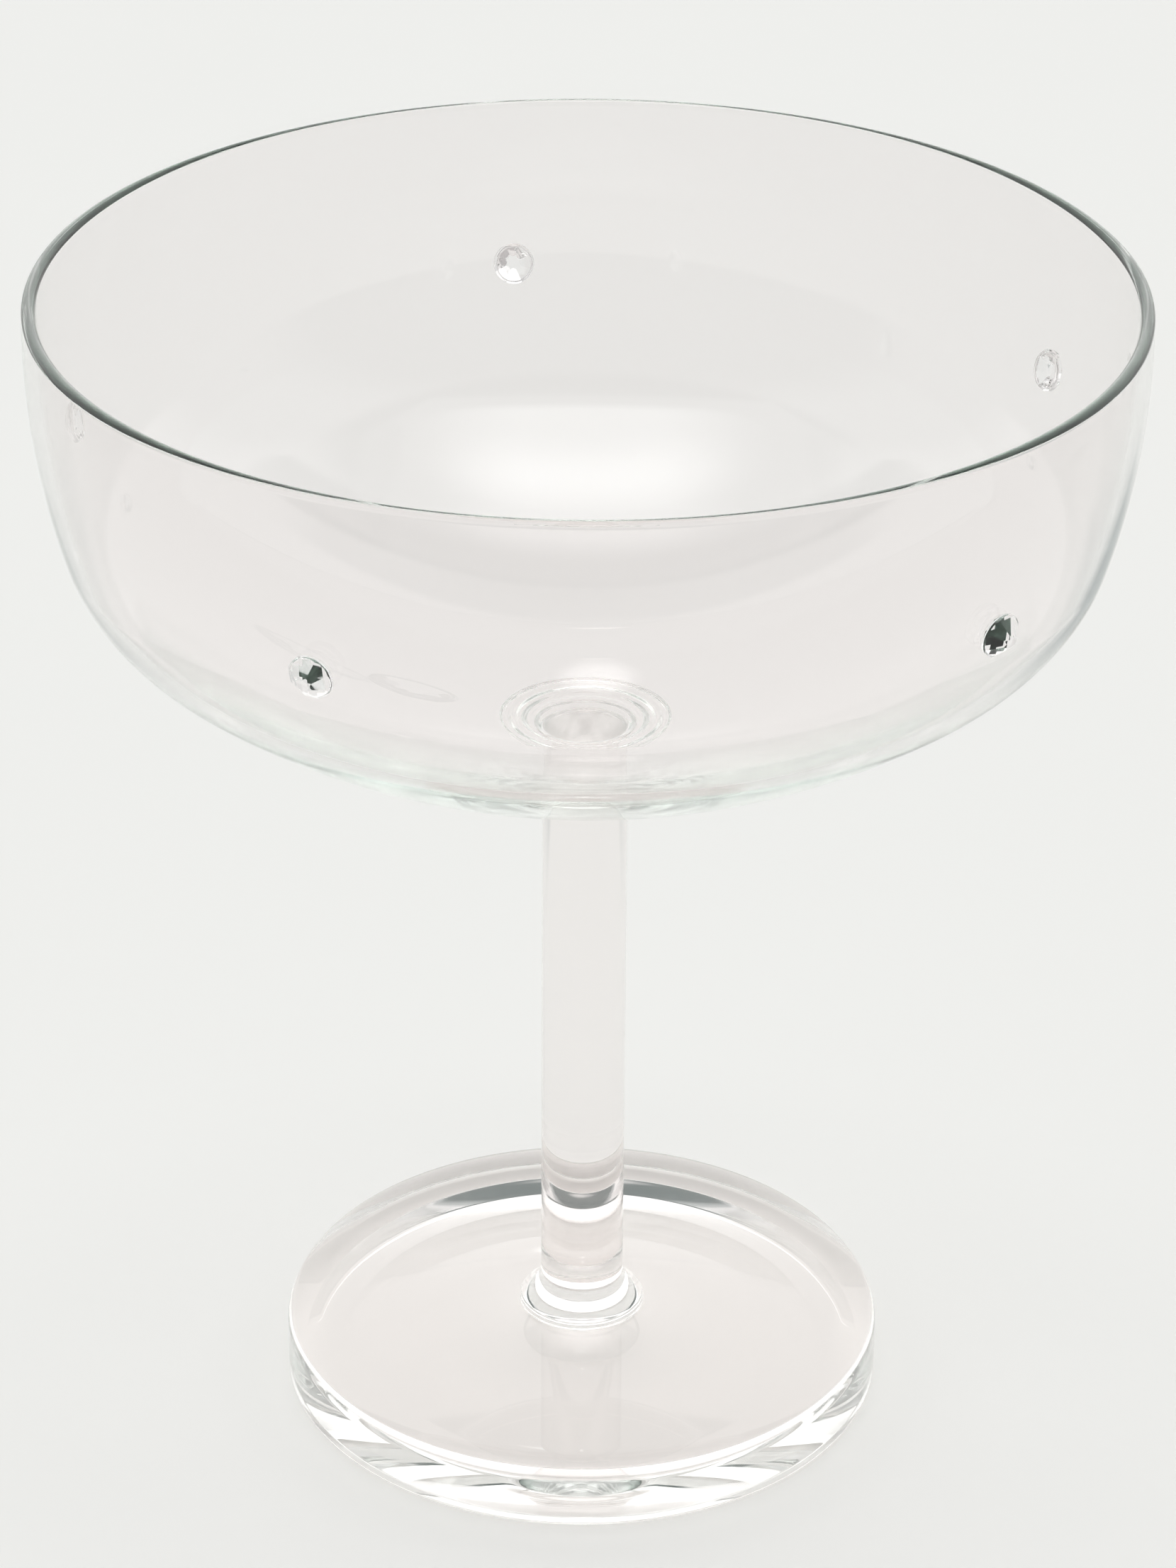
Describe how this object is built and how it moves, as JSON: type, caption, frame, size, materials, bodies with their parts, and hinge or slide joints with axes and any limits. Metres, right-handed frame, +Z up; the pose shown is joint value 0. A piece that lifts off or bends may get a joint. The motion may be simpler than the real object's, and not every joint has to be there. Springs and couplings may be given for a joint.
{
  "type": "coupe glass",
  "caption": "Clear glass coupe with a thin barrel-sided bowl, solid rod stem and heavy disc foot, trimmed with a ring of faceted crystals; holds a drink.",
  "frame": {"origin": "centre of the foot's resting ring, on the surface that the glass stands on", "axes": "+Z up along the stem and the glass's axis of turning; -Y towards the viewer of the picture"},
  "size_m": [0.1, 0.1, 0.113],
  "materials": {
    "blown_glass": "fire-polished clear glass, thin wall",
    "solid_glass": "polished clear solid glass",
    "cut_crystal": "faceted clear crystal, polished flats",
    "clear_glue": "clear cured adhesive"
  },
  "bodies": {
    "root": {"bowl": "blown_glass", "upper_collar": "solid_glass", "stem": "solid_glass", "lower_collar": "solid_glass", "foot": "solid_glass", "crystal_1": "cut_crystal", "crystal_2": "cut_crystal", "crystal_3": "cut_crystal", "crystal_4": "cut_crystal", "crystal_5": "cut_crystal", "crystal_glue_1": "clear_glue", "crystal_glue_2": "clear_glue", "crystal_glue_3": "clear_glue", "crystal_glue_4": "clear_glue", "crystal_glue_5": "clear_glue"}
  },
  "joints": []
}
